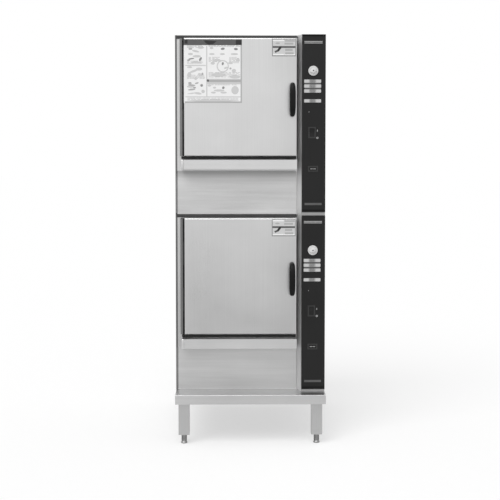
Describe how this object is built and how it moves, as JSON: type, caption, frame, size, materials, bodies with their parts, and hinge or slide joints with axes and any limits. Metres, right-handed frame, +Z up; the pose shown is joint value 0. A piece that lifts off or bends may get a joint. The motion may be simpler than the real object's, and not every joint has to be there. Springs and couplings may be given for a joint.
{
  "type": "convection steamer",
  "caption": "Floor-standing stainless convection steamer with stacked cabinets, left-hinged doors, black control strips, drip trays and an open leg stand.",
  "frame": {"origin": "on the floor, under the middle of the whole appliance's box", "axes": "+Z up, -Y towards the user, +X to the user's right"},
  "size_m": [0.616, 0.88, 1.67],
  "materials": {
    "stainless": "fine brushed",
    "rack_steel": "bright drawn",
    "foot_steel": "turned",
    "screw_steel": "bright",
    "pipe_steel": "satin",
    "black_fascia": "satin black",
    "black_plastic": "fine moulded",
    "pale_knob": "satin",
    "legend_strip": "printed film",
    "black_rubber": "moulded",
    "mineral_wool": "fibrous",
    "motor_paint": "enamel",
    "valve_brass": "cast and turned",
    "grey_plastic": "moulded"
  },
  "bodies": {
    "cabinet": {"blower_motors": "motor_paint", "cavity_insulation": "mineral_wool", "control_components": "black_plastic", "door_catches": "black_plastic", "fan_baffles": "stainless", "frame_hinge_leaves": "stainless", "heating_elements": "rack_steel", "indicator_windows": "legend_strip", "lower_base_pan": "stainless", "lower_control_fascia": "black_fascia", "lower_control_housing": "stainless", "lower_front_frame": "stainless", "lower_rear_panel": "stainless", "lower_side_panels": "stainless", "lower_steam_cavity": "stainless", "lower_top_cover": "stainless", "panel_screws": "screw_steel", "plumbing_pipes": "pipe_steel", "service_panels": "stainless", "stand_legs": "stainless", "stand_shelf": "stainless", "steam_generators": "stainless", "supply_glands": "grey_plastic", "upper_base_pan": "stainless", "upper_control_fascia": "black_fascia", "upper_control_housing": "stainless", "upper_front_frame": "stainless", "upper_rear_panel": "stainless", "upper_side_panels": "stainless", "upper_steam_cavity": "stainless", "upper_top_cover": "stainless", "water_inlet_valves": "valve_brass"},
    "lower_door": {"lower_door_skin": "stainless", "lower_door_liner": "stainless", "lower_door_insulation": "mineral_wool", "lower_door_gasket": "black_rubber", "lower_door_handle": "black_plastic", "lower_door_hinge_leaf": "stainless"},
    "lower_timer_knob": {"lower_timer_knob": "pale_knob"},
    "lower_power_rocker": {"lower_power_rocker": "black_plastic"},
    "lower_delime_rocker": {"lower_delime_rocker": "black_plastic"},
    "lower_blower_wheel": {"lower_blower_wheel": "rack_steel"},
    "lower_drip_tray": {"lower_drip_tray": "stainless"},
    "lower_pan_racks": {"lower_pan_racks": "rack_steel"},
    "upper_door": {"upper_door_skin": "stainless", "upper_door_liner": "stainless", "upper_door_insulation": "mineral_wool", "upper_door_gasket": "black_rubber", "upper_door_handle": "black_plastic", "upper_door_hinge_leaf": "stainless"},
    "upper_timer_knob": {"upper_timer_knob": "pale_knob"},
    "upper_power_rocker": {"upper_power_rocker": "black_plastic"},
    "upper_delime_rocker": {"upper_delime_rocker": "black_plastic"},
    "upper_blower_wheel": {"upper_blower_wheel": "rack_steel"},
    "upper_drip_tray": {"upper_drip_tray": "stainless"},
    "upper_pan_racks": {"upper_pan_racks": "rack_steel"},
    "front_left_foot": {"front_left_foot": "foot_steel"},
    "front_right_foot": {"front_right_foot": "foot_steel"},
    "rear_left_foot": {"rear_left_foot": "foot_steel"},
    "rear_right_foot": {"rear_right_foot": "foot_steel"}
  },
  "joints": [
    {"name": "lower_door_hinge", "type": "hinge", "parent": "cabinet", "child": "lower_door", "pos_m": [-0.281, -0.359, 0.681], "axis": [0, 0, -1], "range_deg": [0, 135]},
    {"name": "lower_timer_turn", "type": "hinge", "parent": "cabinet", "child": "lower_timer_knob", "pos_m": [0.257, -0.36, 0.789], "axis": [0, 1, 0], "range_deg": [0, 300]},
    {"name": "lower_power_press", "type": "hinge", "parent": "cabinet", "child": "lower_power_rocker", "pos_m": [0.2525, -0.354, 0.538], "axis": [-1, 0, 0], "range_deg": [0, 16]},
    {"name": "lower_delime_press", "type": "hinge", "parent": "cabinet", "child": "lower_delime_rocker", "pos_m": [0.257, -0.354, 0.39], "axis": [0, 0, 1], "range_deg": [0, 8], "stiffness_Nm_per_rad": 0.05},
    {"name": "lower_blower_spin", "type": "hinge", "parent": "cabinet", "child": "lower_blower_wheel", "pos_m": [0.182, -0.02, 0.683], "axis": [1, 0, 0], "continuous": true},
    {"name": "lower_tray_slide", "type": "slide", "parent": "cabinet", "child": "lower_drip_tray", "axis": [0, -1, 0], "range_m": [0, 0.09]},
    {"name": "lower_rack_lift", "type": "slide", "parent": "cabinet", "child": "lower_pan_racks", "axis": [0, 0, 1], "range_m": [0, 0.012]},
    {"name": "upper_door_hinge", "type": "hinge", "parent": "cabinet", "child": "upper_door", "pos_m": [-0.281, -0.359, 1.414], "axis": [0, 0, -1], "range_deg": [0, 135]},
    {"name": "upper_timer_turn", "type": "hinge", "parent": "cabinet", "child": "upper_timer_knob", "pos_m": [0.257, -0.36, 1.522], "axis": [0, 1, 0], "range_deg": [0, 300]},
    {"name": "upper_power_press", "type": "hinge", "parent": "cabinet", "child": "upper_power_rocker", "pos_m": [0.2525, -0.354, 1.271], "axis": [-1, 0, 0], "range_deg": [0, 16]},
    {"name": "upper_delime_press", "type": "hinge", "parent": "cabinet", "child": "upper_delime_rocker", "pos_m": [0.257, -0.354, 1.123], "axis": [0, 0, 1], "range_deg": [0, 8], "stiffness_Nm_per_rad": 0.05},
    {"name": "upper_blower_spin", "type": "hinge", "parent": "cabinet", "child": "upper_blower_wheel", "pos_m": [0.182, -0.02, 1.416], "axis": [1, 0, 0], "continuous": true},
    {"name": "upper_tray_slide", "type": "slide", "parent": "cabinet", "child": "upper_drip_tray", "axis": [0, -1, 0], "range_m": [0, 0.09]},
    {"name": "upper_rack_lift", "type": "slide", "parent": "cabinet", "child": "upper_pan_racks", "axis": [0, 0, 1], "range_m": [0, 0.012]},
    {"name": "front_left_foot_turn", "type": "hinge", "parent": "cabinet", "child": "front_left_foot", "pos_m": [-0.2715, -0.404, 0.038], "axis": [0, 0, 1], "continuous": true},
    {"name": "front_right_foot_turn", "type": "hinge", "parent": "cabinet", "child": "front_right_foot", "pos_m": [0.2715, -0.404, 0.038], "axis": [0, 0, 1], "continuous": true},
    {"name": "rear_left_foot_turn", "type": "hinge", "parent": "cabinet", "child": "rear_left_foot", "pos_m": [-0.2715, 0.356, 0.038], "axis": [0, 0, 1], "continuous": true},
    {"name": "rear_right_foot_turn", "type": "hinge", "parent": "cabinet", "child": "rear_right_foot", "pos_m": [0.2715, 0.356, 0.038], "axis": [0, 0, 1], "continuous": true}
  ]
}
